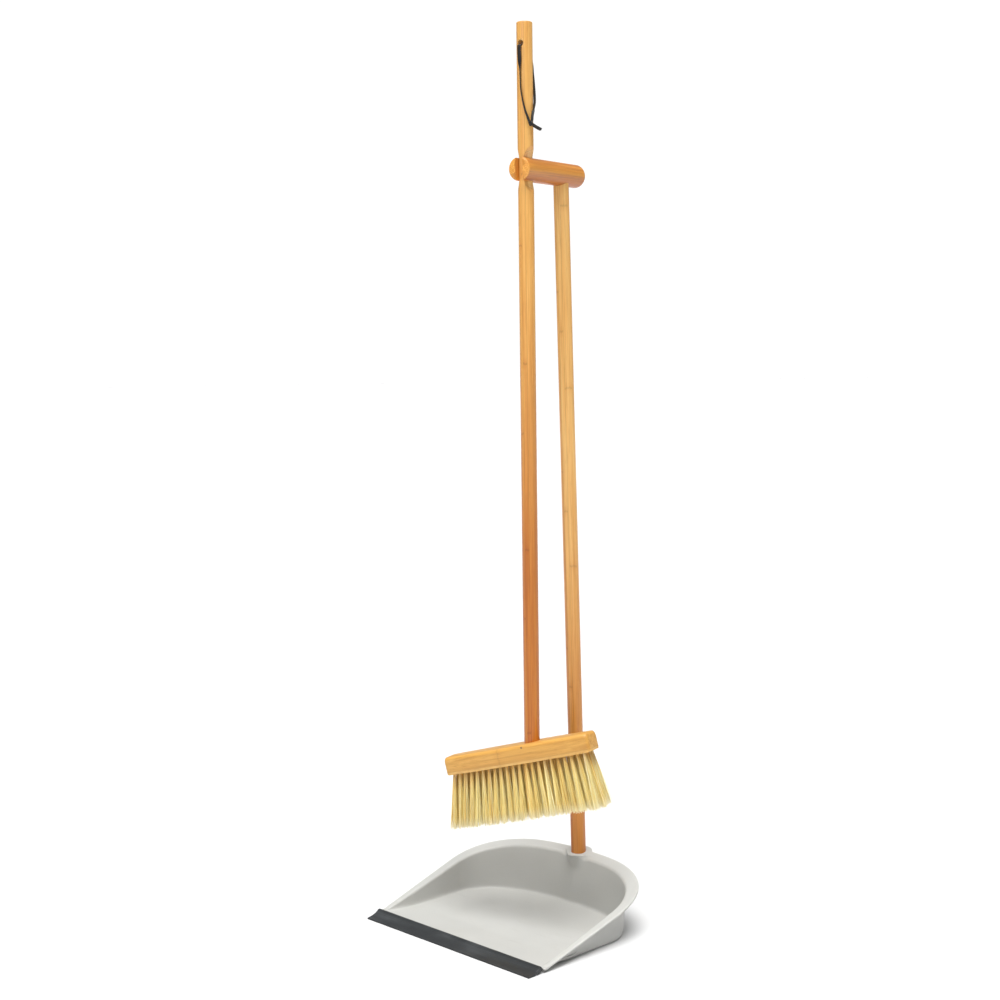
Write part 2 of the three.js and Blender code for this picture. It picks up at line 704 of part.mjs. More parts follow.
function blockGroup() {
  const turn = new THREE.Group();
  turn.position.z = BRUSH_FOOT;
  turn.rotation.z = BLOCK_TURN;
  const tilt = new THREE.Group();
  tilt.rotation.y = -BLOCK_TILT;
  tilt.add(brushBlock(), named('block_nail', alongNail(blockNail()), STEEL));
  for (let column = 0; column < COLUMNS; column += 1) {
    tilt.add(bristleColumn(column));
  }
  turn.add(tilt);
  return turn;
}

function brushGroup() {
  const group = new THREE.Group();
  group.position
    .set(0, -BRUSH_AHEAD, 0)
    .applyMatrix4(crossFrame)
    .applyMatrix4(panHandleFrame);
  group.add(brushHandle(), blockGroup(), lace(), laceKnot(), ...TAILS.map(laceTail));
  return group;
}

// The model's origin goes to the middle of its underside, measured without the loose lace.
function centred(model) {
  model.updateMatrixWorld(true);
  const box = new THREE.Box3();
  model.traverse((item) => {
    if (item.isMesh && !item.name.startsWith('lace')) box.expandByObject(item, true);
  });
  const centre = box.getCenter(new THREE.Vector3());
  const set = new THREE.Group();
  set.add(model);
  model.position.set(-centre.x, -centre.y, -box.min.z);
  return set;
}

const model = new THREE.Group();
model.add(dustPan(), rubberLip(), handleGroup(), brushGroup());

export default centred(model);
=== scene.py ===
import math
import random

import bmesh
import bpy
import numpy as np
from mathutils import Matrix, Vector


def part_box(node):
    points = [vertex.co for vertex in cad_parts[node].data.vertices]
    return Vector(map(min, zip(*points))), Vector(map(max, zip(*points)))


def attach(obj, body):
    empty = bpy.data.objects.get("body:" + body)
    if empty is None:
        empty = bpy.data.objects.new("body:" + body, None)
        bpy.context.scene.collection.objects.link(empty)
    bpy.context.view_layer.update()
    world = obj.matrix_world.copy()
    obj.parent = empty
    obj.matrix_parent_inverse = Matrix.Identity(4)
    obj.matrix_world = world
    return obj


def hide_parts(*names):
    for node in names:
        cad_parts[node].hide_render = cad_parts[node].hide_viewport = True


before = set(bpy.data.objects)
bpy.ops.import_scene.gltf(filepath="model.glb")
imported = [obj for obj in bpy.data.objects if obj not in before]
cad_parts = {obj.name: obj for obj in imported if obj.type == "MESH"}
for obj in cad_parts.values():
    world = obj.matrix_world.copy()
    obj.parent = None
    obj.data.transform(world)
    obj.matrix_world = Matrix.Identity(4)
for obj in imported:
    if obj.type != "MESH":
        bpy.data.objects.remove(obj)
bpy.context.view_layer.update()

MM = 0.001
rad = math.radians

# ---------------------------------------------------------------- axes of the set, in millimetres
# The set's own axes have the foot of the pan handle at x = y = 0. The frame's origin is elsewhere.
LIP_TIP_Y = -248.5
SHIFT_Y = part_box("rubber_lip")[0][1] / MM - LIP_TIP_Y
SET = Matrix.Translation((0, SHIFT_Y, 0))
FOOT_Z = 60.0
CROSS_HEIGHT = 911.7
BRUSH_AHEAD = 91.0
BRUSH_TOP = 180.8
BRUSH_FOOT = -727.1
PAN_HANDLE = SET @ Matrix.Translation((0, 0, FOOT_Z)) @ Matrix.Rotation(rad(1.46), 4, "X")
CROSS = PAN_HANDLE @ Matrix.Translation((0, 0, CROSS_HEIGHT)) @ Matrix.Rotation(rad(15), 4, "Z")
BRUSH = Matrix.Translation(CROSS @ Vector((0, -BRUSH_AHEAD, 0)))
BLOCK_SHIFT = -22.2
BLOCK = (BRUSH @ Matrix.Translation((0, 0, BRUSH_FOOT)) @ Matrix.Rotation(rad(16.2), 4, "Z")
         @ Matrix.Rotation(rad(-14.6), 4, "Y") @ Matrix.Translation((BLOCK_SHIFT, 0, 0)))

# ---------------------------------------------------------------- camera
YAW, PITCH, ROLL = rad(45.85), rad(4.86), rad(0.71)
EYE = Vector((1.46967, -1.56713 + SHIFT_Y * MM, 0.72935))
ahead = Vector((-math.sin(YAW) * math.cos(PITCH), math.cos(YAW) * math.cos(PITCH), -math.sin(PITCH)))
right = Vector((math.cos(YAW), math.sin(YAW), 0))
up = right.cross(ahead)
right, up = (right * math.cos(ROLL) - up * math.sin(ROLL), up * math.cos(ROLL) + right * math.sin(ROLL))
turn = Matrix((right, up, -ahead)).transposed()
camera = bpy.data.objects.new("camera", bpy.data.cameras.new("camera"))
bpy.context.scene.collection.objects.link(camera)
camera.matrix_world = Matrix.Translation(EYE) @ turn.to_4x4()
camera.data.sensor_width = 36
camera.data.lens = 58.255
camera.data.clip_end = 60
bpy.context.scene.camera = camera


# ---------------------------------------------------------------- node materials
class Nodes:
    """A material's node tree, with short calls to add to it."""

    def __init__(self, name):
        self.material = bpy.data.materials.new(name)
        self.material.use_nodes = True
        self.tree = self.material.node_tree
        self.shader = self.tree.nodes["Principled BSDF"]

    def add(self, kind, **values):
        node = self.tree.nodes.new(kind)
        for key, value in values.items():
            setattr(node, key, value)
        return node

    def plug(self, socket, value):
        if isinstance(value, bpy.types.NodeSocket):
            self.tree.links.new(value, socket)
        else:
            socket.default_value = value

    def math(self, operation, a, b=0.0, c=0.0, clamp=False):
        node = self.add("ShaderNodeMath", operation=operation, use_clamp=clamp)
        for socket, value in zip(node.inputs, (a, b, c)):
            self.plug(socket, value)
        return node.outputs[0]

    def attribute(self, name):
        return self.add("ShaderNodeAttribute", attribute_name=name)

    def stretch(self, vector, scale):
        node = self.add("ShaderNodeMapping", vector_type="POINT")
        self.plug(node.inputs["Vector"], vector)
        node.inputs["Scale"].default_value = scale
        return node.outputs[0]

    def split(self, vector):
        node = self.add("ShaderNodeSeparateXYZ")
        self.plug(node.inputs[0], vector)
        return node.outputs

    def join(self, x, y, z):
        node = self.add("ShaderNodeCombineXYZ")
        for socket, value in zip(node.inputs, (x, y, z)):
            self.plug(socket, value)
        return node.outputs[0]

    def noise(self, vector, scale, detail=3.0, roughness=0.55, distortion=0.0):
        node = self.add("ShaderNodeTexNoise")
        self.plug(node.inputs["Vector"], vector)
        node.inputs["Scale"].default_value = scale
        node.inputs["Detail"].default_value = detail
        node.inputs["Roughness"].default_value = roughness
        node.inputs["Distortion"].default_value = distortion
        return node.outputs["Fac"]

    def random(self, value):
        node = self.add("ShaderNodeTexWhiteNoise", noise_dimensions="1D")
        self.plug(node.inputs["W"], value)
        return node.outputs["Value"]

    def ramp(self, value, *stops):
        node = self.add("ShaderNodeValToRGB")
        band = node.color_ramp
        while len(band.elements) < len(stops):
            band.elements.new(0.5)
        for element, (place, colour) in zip(band.elements, stops):
            element.position = place
            element.color = (*[srgb(c) for c in colour], 1)
        self.plug(node.inputs[0], value)
        return node.outputs[0]

    def range(self, value, low, high, to_low=0.0, to_high=1.0):
        node = self.add("ShaderNodeMapRange", interpolation_type="SMOOTHSTEP")
        for socket, number in zip(node.inputs, (value, low, high, to_low, to_high)):
            self.plug(socket, number)
        return node.outputs[0]

    def mix(self, factor, a, b, blend="MIX"):
        node = self.add("ShaderNodeMix", data_type="RGBA", blend_type=blend)
        self.plug(node.inputs[0], factor)
        for socket, value in ((node.inputs[6], a), (node.inputs[7], b)):
            if isinstance(value, tuple):
                value = (*[srgb(c) for c in value], 1)
            self.plug(socket, value)
        return node.outputs[2]

    def grey(self, value):
        return self.join(value, value, value)

    def bump(self, height, distance, strength=1.0):
        node = self.add("ShaderNodeBump")
        node.inputs["Distance"].default_value = distance
        node.inputs["Strength"].default_value = strength
        self.plug(node.inputs["Height"], height)
        self.plug(self.shader.inputs["Normal"], node.outputs[0])

    def set(self, **values):
        for key, value in values.items():
            self.plug(self.shader.inputs[key.replace("_", " ")], value)
        return self.material


def srgb(value):
    """A colour number from 0 to 255 as light."""
    value /= 255
    return value / 12.92 if value <= 0.04045 else ((value + 0.055) / 1.055) ** 2.4


def bamboo(name, pale, middle, deep, strip=0.0052, seed=0.0, node_gap=0.236, node_at=None, low=None,
           under=None, rough=0.36, seams=0.26, nodes=0.3, dark=0.4):
    """Laminated bamboo: strips along z of the piece's own axes, fine fibres, and small node marks.
    node_at puts one node line across every strip. low is painted shade: a darker tint and the two heights
    between which it fades out, so the piece is darker towards its low end. under is the same painted shade
    across the piece, so it is darker on its underside."""
    n = Nodes(name)
    grain = n.attribute("grain").outputs["Vector"]
    x, y, z = n.split(grain)
    wobble = n.noise(n.stretch(grain, (4, 4, 4)), 1.0, 1.0)
    across = n.math("ADD", n.math("ADD", x, n.math("MULTIPLY", wobble, 0.0008)), seed + 1.0)
    deep_across = n.math("ADD", y, seed + 2.0)
    strip_x = n.math("DIVIDE", across, strip)
    strip_y = n.math("DIVIDE", deep_across, strip * 2.4)
    number = n.math("ADD", n.math("FLOOR", strip_x), n.math("MULTIPLY", n.math("FLOOR", strip_y), 7.0))
    tone = n.random(number)
    inside = n.math("FRACT", strip_x)
    seam = n.math("MINIMUM", inside, n.math("SUBTRACT", 1.0, inside))
    seam = n.range(seam, 0.0, 0.07, 1.0, 0.0)
    fibre = n.noise(n.stretch(grain, (900, 900, 14)), 1.0, 4.0, 0.6)
    streak = n.noise(n.stretch(grain, (240, 240, 5)), 1.0, 3.0, 0.6, 0.4)
    cloud = n.noise(n.stretch(grain, (26, 26, 4)), 1.0, 2.0)
    colour = n.ramp(
        n.math("ADD", n.math("MULTIPLY", tone, 0.34),
               n.math("ADD", n.math("MULTIPLY", streak, 0.62), n.math("MULTIPLY", cloud, 0.12))),
        (0.24, deep), (0.5, middle), (0.78, pale))
    dark_fibre = n.range(fibre, 0.34, 0.52, 1.0, 0.0)
    colour = n.mix(n.math("MULTIPLY", dark_fibre, dark), colour, deep, "MIX")
    pores = n.noise(n.stretch(grain, (1700, 1700, 60)), 1.0, 1.0)
    pores = n.range(pores, 0.64, 0.74)
    shade = n.math("SUBTRACT", 1.0, n.math("ADD", n.math("MULTIPLY", seam, seams),
                                           n.math("MULTIPLY", pores, 0.18)))
    colour = n.mix(1.0, colour, n.grey(shade), "MULTIPLY")
    jitter = n.math("MULTIPLY", n.noise(n.stretch(grain, (420, 420, 30)), 1.0, 2.0), 0.006)
    along = n.math("ADD", z, jitter)
    if node_at is None:
        along = n.math("ADD", along, n.math("MULTIPLY", n.random(n.math("ADD", number, 31.0)), node_gap))
        near = n.math("ABSOLUTE", n.math("SUBTRACT", n.math("FLOORED_MODULO", along, node_gap), node_gap / 2))
        keep = n.range(n.random(n.math("ADD", number, 77.0)), 0.35, 0.4)
    else:
        near = n.math("ABSOLUTE", n.math("SUBTRACT", along, node_at))
        keep = 1.0
    mark = n.range(near, 0.0003, 0.0022, 1.0, 0.0)
    halo = n.range(near, 0.002, 0.01, 1.0, 0.0)
    colour = n.mix(n.math("MULTIPLY", n.math("MULTIPLY", halo, nodes * 0.7), keep), colour, deep, "MIX")
    colour = n.mix(n.math("MULTIPLY", n.math("MULTIPLY", mark, nodes), keep), colour, (128, 78, 34), "MIX")
    # Painted shade: low darkens the piece towards its lower end, below the given heights.
    if low:
        tint, start, end = low
        painted_shade_fade = n.range(z, start, end)
        colour = n.mix(painted_shade_fade, n.mix(1.0, colour, tint, "MULTIPLY"), colour)
    # Painted shade: under darkens the piece's underside, below the given heights across it.
    if under:
        tint, start, end = under
        painted_shade_fade = n.range(y, start, end)
        colour = n.mix(painted_shade_fade, n.mix(1.0, colour, tint, "MULTIPLY"), colour)
    end_grain = n.range(n.noise(n.stretch(grain, (1300, 1300, 40)), 1.0, 3.0), 0.38, 0.62)
    end_colour = n.mix(end_grain, middle, tuple(min(255, c + 14) for c in pale))
    colour = n.mix(n.math("MULTIPLY", n.attribute("end").outputs["Fac"], 0.8), colour, end_colour)
    rough_map = n.math("ADD", rough, n.math("MULTIPLY", fibre, 0.16))
    height = n.math("SUBTRACT", n.math("MULTIPLY", fibre, 0.5),
                    n.math("ADD", n.math("MULTIPLY", seam, 0.35), n.math("MULTIPLY", mark, 0.6)))
    n.bump(height, 0.0002, 0.5)
    return n.set(Base_Color=colour, Roughness=rough_map, Coat_Weight=0.25, Coat_Roughness=0.22)


def powder_coat():
    n = Nodes("powder_coat")
    place = n.add("ShaderNodeTexCoord").outputs["Object"]
    cloud = n.noise(n.stretch(place, (9, 9, 9)), 1.0, 2.0)
    speck = n.noise(n.stretch(place, (1300, 1300, 1300)), 1.0, 2.0)
    peel = n.noise(n.stretch(place, (430, 430, 430)), 1.0, 2.0)
    worn = n.attribute("edge").outputs["Fac"]
    scuff = n.noise(n.stretch(place, (70, 70, 70)), 1.0, 4.0, 0.7)
    colour = n.ramp(n.math("ADD", n.math("MULTIPLY", cloud, 0.6), n.math("MULTIPLY", speck, 0.4)),
                    (0.3, (183, 183, 178)), (0.5, (189, 189, 185)), (0.7, (195, 195, 191)))
    wear = n.math("MULTIPLY", worn, n.range(scuff, 0.44, 0.62, 0.25, 1.0))
    colour = n.mix(n.math("MULTIPLY", wear, 0.5), colour, (216, 214, 207))
    rub = n.noise(n.stretch(place, (18, 120, 120)), 1.0, 5.0, 0.65)
    rub = n.range(rub, 0.56, 0.72)
    low = n.range(n.split(place)[2], 0.006, 0.02, 1.0, 0.0)
    colour = n.mix(n.math("MULTIPLY", n.math("MULTIPLY", rub, low), 0.16), colour, (166, 164, 157))
    rough = n.math("ADD", 0.4, n.math("ADD", n.math("MULTIPLY", speck, 0.12), n.math("MULTIPLY", cloud, 0.06)))
    n.bump(n.math("ADD", n.math("MULTIPLY", speck, 0.4), n.math("MULTIPLY", peel, 0.6)), 0.00018, 0.32)
    return n.set(Base_Color=colour, Roughness=rough, Specular_IOR_Level=0.4)


def rubber():
    n = Nodes("lip_rubber")
    place = n.add("ShaderNodeTexCoord").outputs["Object"]
    drawn = n.noise(n.stretch(place, (10, 900, 900)), 1.0, 3.0)
    speck = n.noise(n.stretch(place, (1500, 1500, 1500)), 1.0, 2.0)
    cloud = n.noise(n.stretch(place, (22, 60, 60)), 1.0, 3.0)
    colour = n.ramp(n.math("ADD", n.math("MULTIPLY", cloud, 0.6), n.math("MULTIPLY", drawn, 0.4)),
                    (0.3, (30, 32, 34)), (0.5, (42, 45, 47)), (0.72, (64, 67, 69)))
    dust = n.math("MULTIPLY", n.range(speck, 0.58, 0.7), 0.16)
    colour = n.mix(dust, colour, (96, 96, 93))
    rough = n.math("ADD", 0.34, n.math("MULTIPLY", cloud, 0.2))
    n.bump(n.math("ADD", n.math("MULTIPLY", drawn, 0.6), n.math("MULTIPLY", speck, 0.4)), 0.00025, 0.4)
    return n.set(Base_Color=colour, Roughness=rough, Specular_IOR_Level=0.45)


def plant_fibre():
    n = Nodes("plant_fibre")
    tint = n.attribute("tint").outputs["Fac"]
    along = n.attribute("along").outputs["Fac"]
    colour = n.ramp(tint, (0.0, (222, 172, 76)), (0.3, (246, 218, 128)), (0.65, (254, 238, 162)),
                    (1.0, (255, 251, 212)))
    colour = n.mix(n.range(along, 0.8, 1.0, 0.0, 0.6), colour, (244, 240, 214))
    # Painted shade: the fibres are a deeper orange near their roots, where the gaps between tufts lie in shade.
    colour = n.mix(n.range(along, 0.0, 0.45, 0.5, 0.0), colour, (216, 148, 56))
    place = n.add("ShaderNodeTexCoord").outputs["Object"]
    fleck = n.noise(n.stretch(place, (900, 900, 160)), 1.0, 2.0)
    colour = n.mix(n.range(fleck, 0.5, 0.75, 0.0, 0.3), colour, (222, 186, 100))
    rough = n.math("ADD", 0.5, n.math("MULTIPLY", fleck, 0.2))
    return n.set(Base_Color=colour, Roughness=rough, Sheen_Weight=0.15)


def leather():
    n = Nodes("lace_leather")
    place = n.add("ShaderNodeTexCoord").outputs["Object"]
    grain = n.noise(n.stretch(place, (1400, 1400, 900)), 1.0, 4.0, 0.65)
    cloud = n.noise(n.stretch(place, (160, 160, 90)), 1.0, 2.0)
    edge = n.attribute("edge").outputs["Fac"]
    colour = n.ramp(n.math("ADD", n.math("MULTIPLY", grain, 0.5), n.math("MULTIPLY", cloud, 0.5)),
                    (0.3, (13, 10, 9)), (0.52, (22, 18, 17)), (0.75, (40, 34, 31)))
    colour = n.mix(n.math("MULTIPLY", edge, 0.35), colour, (54, 40, 32))
    rough = n.math("ADD", 0.3, n.math("MULTIPLY", grain, 0.3))
    n.bump(grain, 0.0003, 0.6)
    return n.set(Base_Color=colour, Roughness=rough)


def steel(name, tone):
    n = Nodes(name)
    place = n.add("ShaderNodeTexCoord").outputs["Object"]
    turned_marks = n.noise(n.stretch(place, (500, 500, 2600)), 1.0, 3.0)
    stain = n.noise(n.stretch(place, (300, 300, 300)), 1.0, 3.0)
    dim = tuple(0.72 * c for c in tone)
    colour = n.mix(n.range(stain, 0.42, 0.66), tone, dim)
    rough = n.math("ADD", 0.24, n.math("MULTIPLY", turned_marks, 0.3))
    n.bump(turned_marks, 0.0001, 0.4)
    return n.set(Base_Color=colour, Roughness=rough, Metallic=1.0)


# ---------------------------------------------------------------- mesh helpers
def piece(name, points, faces, material, body, place=None, smooth=35.0, slot=None, **attributes):
    """A mesh object from points in millimetres in a part's own axes, which ride on a CAD body.
    Each keyword is a number for every point, kept as an attribute that the material reads."""
    points = np.asarray(points, float)
    mesh = bpy.data.meshes.new(name)
    matrix = np.array(place if place is not None else SET)
    world = points @ matrix[:3, :3].T + matrix[:3, 3]
    mesh.from_pydata((world * MM).tolist(), [], [tuple(int(i) for i in face) for face in faces])
    grain = attributes.pop("grain", points * MM)
    layer = mesh.attributes.new("grain", "FLOAT_VECTOR", "POINT")
    layer.data.foreach_set("vector", np.asarray(grain, np.float32).ravel())
    for key, values in attributes.items():
        layer = mesh.attributes.new(key, "FLOAT", "POINT")
        layer.data.foreach_set("value", np.asarray(values, np.float32).ravel())
    obj = bpy.data.objects.new(name, mesh)
    bpy.context.scene.collection.objects.link(obj)
    mesh.materials.append(material)
    work = bmesh.new()
    work.from_mesh(mesh)
    bmesh.ops.remove_doubles(work, verts=work.verts, dist=1e-7)
    bmesh.ops.recalc_face_normals(work, faces=work.faces)
    work.to_mesh(mesh)
    work.free()
    soften(mesh, smooth)
    if body:
        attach(obj, body)
    return obj


def soften(mesh, degrees):
    for face in mesh.polygons:
        face.use_smooth = True
    mesh.set_sharp_from_angle(angle=rad(degrees))


def grid_faces(rows, columns, around=True, start=0):
    """Quads of a grid of rows by columns of points; around joins each row's last point to its first."""
    faces = []
    for i in range(rows - 1):
        for j in range(columns if around else columns - 1):
            k = (j + 1) % columns
            a = start + i * columns
            faces.append((a + j, a + k, a + columns + k, a + columns + j))
    return faces


def carve(obj, *cutters):
    """Cuts the cutters out of obj for good, and removes them."""
    for cutter in cutters:
        step = obj.modifiers.new("cut", "BOOLEAN")
        step.object = cutter
        step.solver = "EXACT"
    graph = bpy.context.evaluated_depsgraph_get()
    mesh = bpy.data.meshes.new_from_object(obj.evaluated_get(graph))
    obj.modifiers.clear()
    old = obj.data
    obj.data = mesh
    mesh.name = obj.name
    bpy.data.meshes.remove(old)
    for cutter in cutters:
        bpy.data.objects.remove(cutter)


def smooth_step(value):
    value = np.clip(value, 0, 1)
    return value * value * (3 - 2 * value)


def lathe(profile, sides):
    """Points and faces of a turned solid about z, from [radius, height] pairs off the axis, with ends closed."""
    angle = np.linspace(0, 2 * np.pi, sides, endpoint=False)
    rings = [[(r * math.cos(a), r * math.sin(a), z) for a in angle] for r, z in profile]
    points = [p for ring in rings for p in ring]
    faces = grid_faces(len(profile), sides)
    faces.append(tuple(range(sides))[::-1])
    faces.append(tuple(range(len(points) - sides, len(points))))
    return np.array(points), faces


def curve_through(points, count):
    """Points evenly spread along a smooth curve through the given ones."""
    points = np.asarray(points, float)
    padded = np.vstack([2 * points[0] - points[1], points, 2 * points[-1] - points[-2]])
    fine = []
    for a, b, c, d in zip(padded, padded[1:], padded[2:], padded[3:]):
        ta = 0.0
        tb = ta + np.linalg.norm(b - a) ** 0.5
        tc = tb + np.linalg.norm(c - b) ** 0.5
        td = tc + np.linalg.norm(d - c) ** 0.5
        for t in np.linspace(tb, tc, 24, endpoint=False):
            ab = (tb - t) / (tb - ta) * a + (t - ta) / (tb - ta) * b
            bc = (tc - t) / (tc - tb) * b + (t - tb) / (tc - tb) * c
            cd = (td - t) / (td - tc) * c + (t - tc) / (td - tc) * d
            abc = (tc - t) / (tc - ta) * ab + (t - ta) / (tc - ta) * bc
            bcd = (td - t) / (td - tb) * bc + (t - tb) / (td - tb) * cd
            fine.append((tc - t) / (tc - tb) * abc + (t - tb) / (tc - tb) * bcd)
    fine.append(points[-1])
    fine = np.array(fine)
    length = np.concatenate([[0], np.cumsum(np.linalg.norm(np.diff(fine, axis=0), axis=1))])
    at = np.linspace(0, length[-1], count)
    return np.stack([np.interp(at, length, fine[:, i]) for i in range(3)], axis=1)


def ribbon(path, sides, width, thick, taper=None):
    """Points, faces and an edge number of a flat strip with rounded edges along a path. sides holds the
    direction across the strip at each point."""
    path = np.asarray(path, float)
    along = np.gradient(path, axis=0)
    along /= np.linalg.norm(along, axis=1)[:, None]
    across = np.asarray(sides, float)
    across = across - (across * along).sum(1)[:, None] * along
    across /= np.linalg.norm(across, axis=1)[:, None]
    normal = np.cross(across, along)
    angle = np.linspace(0, 2 * np.pi, 16, endpoint=False)
    u = np.sign(np.cos(angle)) * np.abs(np.cos(angle)) ** 0.5
    v = np.sign(np.sin(angle)) * np.abs(np.sin(angle)) ** 0.55
    size = np.ones(len(path)) if taper is None else np.asarray(taper)
    points = (path[:, None] + size[:, None, None] * width / 2 * u[None, :, None] * across[:, None]
              + thick / 2 * v[None, :, None] * normal[:, None])
    faces = grid_faces(len(path), 16)
    total = len(path) * 16
    faces.append(tuple(range(16))[::-1])
    faces.append(tuple(range(total - 16, total)))
    edge = np.tile(np.clip((np.abs(u) - 0.75) / 0.25, 0, 1), len(path))
    return points.reshape(-1, 3), faces, edge


# ---------------------------------------------------------------- the hanging lace, riding on the brush
LACE_W, LACE_T = 5.2, 1.5
LACE_ROUTE = [
    (62.5, 13.75, 59.1), (57, 12.8, 63.8), (48, 12.05, 69), (38.3, 11.95, 76.4), (30, 11.95, 83.7),
    (23.5, 11.95, 91.1), (18.5, 11.95, 98.4), (16.5, 11.95, 108.2), (14.5, 11.95, 120.4),
    (12, 11.95, 136), (11, 12.2, 147.8), (11, 11.7, 151), (11, 9.5, 151.9), (11, 4, 151.9),
    (191, 4, 151.9), (191, 9.5, 151.9), (191, 11.7, 151), (190.5, 12.2, 147.8), (184, 12, 136),
    (173.5, 11.95, 123.6), (163, 11.95, 111), (154, 11.95, 100.8), (141, 11.95, 89.3),
    (127, 12, 82.5), (111, 12.2, 76.5), (95, 12.7, 69.5), (86, 13.3, 64), (81.5, 13.95, 59.1)]
KNOT = (72, 14, 55.2)
TAILS = [((3.4, 1.3, -1.8), (10.4, 9, -7.9)), ((1.2, 3.4, -2.1), (6.9, 10.3, -7.6))]
# The way the flat sides of the lace's ends face.
TAIL_FACES = (0.7175, -0.6966, 0.0)
LEATHER = leather()


def round_handle(turned_by, out, height):
    return np.array((out * math.sin(rad(turned_by)), -out * math.cos(rad(turned_by)), height))


# Both ends run on a little way into the knot.
route = np.array([round_handle(*stop) for stop in [(69, 14, 56.4), *LACE_ROUTE, (75, 14, 56.4)]])
lace_path = curve_through(route, 150)
lace_across = []
lace_size = []
hole_across = np.array((math.cos(rad(11)), math.sin(rad(11)), 0.0))
for point in lace_path:
    out = np.array((point[0], point[1], 0.0))
    reach = np.linalg.norm(out)
    radial = out / max(reach, 1e-6)
    side = np.array((-radial[1], radial[0], 0.0))
    side *= 1 if side @ hole_across > -0.2 else -1
    share = float(smooth_step((reach - 8) / 3.5))
    low = float(smooth_step((134 - point[2]) / 16))
    lie = rad(62) * low
    side = side * math.cos(lie) + radial * math.sin(lie) * (1 if side @ hole_across > 0 else -1)
    lace_across.append(hole_across * (1 - share) + side * share)
    lace_size.append(0.72 + 0.28 * share - 0.34 * low)
for i in range(1, len(lace_across)):
    if lace_across[i] @ lace_across[i - 1] < 0:
        lace_across[i] = -lace_across[i]
points, faces, edge = ribbon(lace_path, lace_across, LACE_W, LACE_T, lace_size)
lace = piece("lace_strip", points, faces, LEATHER, "brush", BRUSH, 50, "lace_leather", edge=edge)
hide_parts("lace")

knot_at = round_handle(*KNOT)
steps = np.linspace(0, 2 * np.pi, 120, endpoint=False)
trefoil = np.stack([np.sin(steps) + 2 * np.sin(2 * steps), -np.sin(3 * steps) * 1.5,
                    (np.cos(steps) - 2 * np.cos(2 * steps)) * 1.45], axis=1) * 0.62
trefoil = trefoil @ np.array(Matrix.Rotation(rad(45), 3, "Z")).T + knot_at
ring_points, ring_faces = [], []
section = np.linspace(0, 2 * np.pi, 10, endpoint=False)
for i in range(len(trefoil)):
    tangent = trefoil[(i + 1) % len(trefoil)] - trefoil[i - 1]
    tangent /= np.linalg.norm(tangent)
    outwards = trefoil[i] - knot_at
    outwards -= outwards @ tangent * tangent
    outwards /= np.linalg.norm(outwards)
    sideways = np.cross(tangent, outwards)
    for a in section:
        ring_points.append(trefoil[i] + 0.95 * math.cos(a) * outwards + 1.4 * math.sin(a) * sideways)
loops = len(trefoil)
for i in range(loops):
    for j in range(10):
        k = (j + 1) % 10
        a, b = i * 10, ((i + 1) % loops) * 10
        ring_faces.append((a + j, a + k, b + k, b + j))
knot = piece("lace_knot_loops", ring_points, ring_faces, LEATHER, "brush", BRUSH, 60, "lace_leather",
             edge=np.zeros(len(ring_points)))
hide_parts("lace_knot")

for number, (begin, end) in enumerate(TAILS, 1):
    begin, end = np.array(begin), np.array(end)
    along = (end - begin) / np.linalg.norm(end - begin)
    start = begin - along * 2.4
    line = np.array([knot_at + start + (end - start) * t + (0, 0, -4.4 * 0.35 * t * (1 - t))
                     for t in np.linspace(0, 1, 16)])
    flat = np.cross(along, TAIL_FACES) + np.array((0.2, -0.2, 0)) * number
    points, faces, edge = ribbon(line, [flat] * 16, 3.6, 1.5)
    tail = piece(f"lace_end_{number}", points, faces, LEATHER, "brush", BRUSH, 50, "lace_leather", edge=edge)
    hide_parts(f"lace_tail_{number}")

# ---------------------------------------------------------------- dust pan
SHEET = 1.2
FRONT_Y, TONGUE_Y, RAMP_Y, SIDE_Y = -224.2, -229.4, -172.0, -95.0
RIM_TOP_Z, EDGE_TOP_Z = 64.5, 69.9
PAINT = powder_coat()


def floor_top(y):
    down = RAMP_Y - np.asarray(y, float)
    return SHEET + 0.09 * 0.5 * (down + np.hypot(down, 5.0)) - 0.04


def rim_height(y, top):
    climb = 0.29 * (np.asarray(y, float) + 240.3)
    level = (climb + top) / 2 - np.hypot((climb - top) / 2, 1.0)
    return np.maximum(level, floor_top(y) + 0.6)


def rail(front, side, pull_y, pull_x, back):
    """The right half of a line round the pan, as a function of a share from the back to the front."""
    control = np.array([(0, back), (pull_x, back), (side, pull_y), (side, SIDE_Y)], float)

    def at(share):
        share = np.asarray(share, float)
        t = np.clip(share / 0.62, 0, 1)[:, None]
        corner = ((1 - t) ** 3 * control[0] + 3 * (1 - t) ** 2 * t * control[1]
                  + 3 * (1 - t) * t ** 2 * control[2] + t ** 3 * control[3])
        s = np.clip((share - 0.62) / 0.38, 0, 1)
        line = np.stack([side + (front - side) * s, SIDE_Y + (FRONT_Y - SIDE_Y) * s], axis=1)
        return np.where((share < 0.62)[:, None], corner, line)

    return at


FLOOR_RAIL = rail(143, 142.2, -48.5, 93.5, -16.5)
RIM_RAIL = rail(144.8, 143.5, -46, 98, -6.7)
EDGE_RAIL = rail(151.7, 157.9, -27.7, 105, 8)


def whole(at, shares):
    right_side = at(shares)
    left_side = right_side[1:][::-1] * (-1, 1)
    return np.vstack([left_side, right_side])


def bend(a, b, c, reach, count):
    """Points of a rounded corner at b."""
    a, b, c = map(np.asarray, (a, b, c))
    before = b + (a - b) * min(0.45, reach / max(np.linalg.norm(a - b), 1e-6))
    after = b + (c - b) * min(0.45, reach / max(np.linalg.norm(c - b), 1e-6))
    t = np.linspace(0, 1, count)[:, None]
    return (1 - t) ** 2 * before + 2 * (1 - t) * t * b + t ** 2 * after


def between(a, b, count):
    """Points strictly between a and b."""
    t = np.linspace(0, 1, count + 2)[1:-1, None]
    return np.asarray(a) + (np.asarray(b) - np.asarray(a)) * t


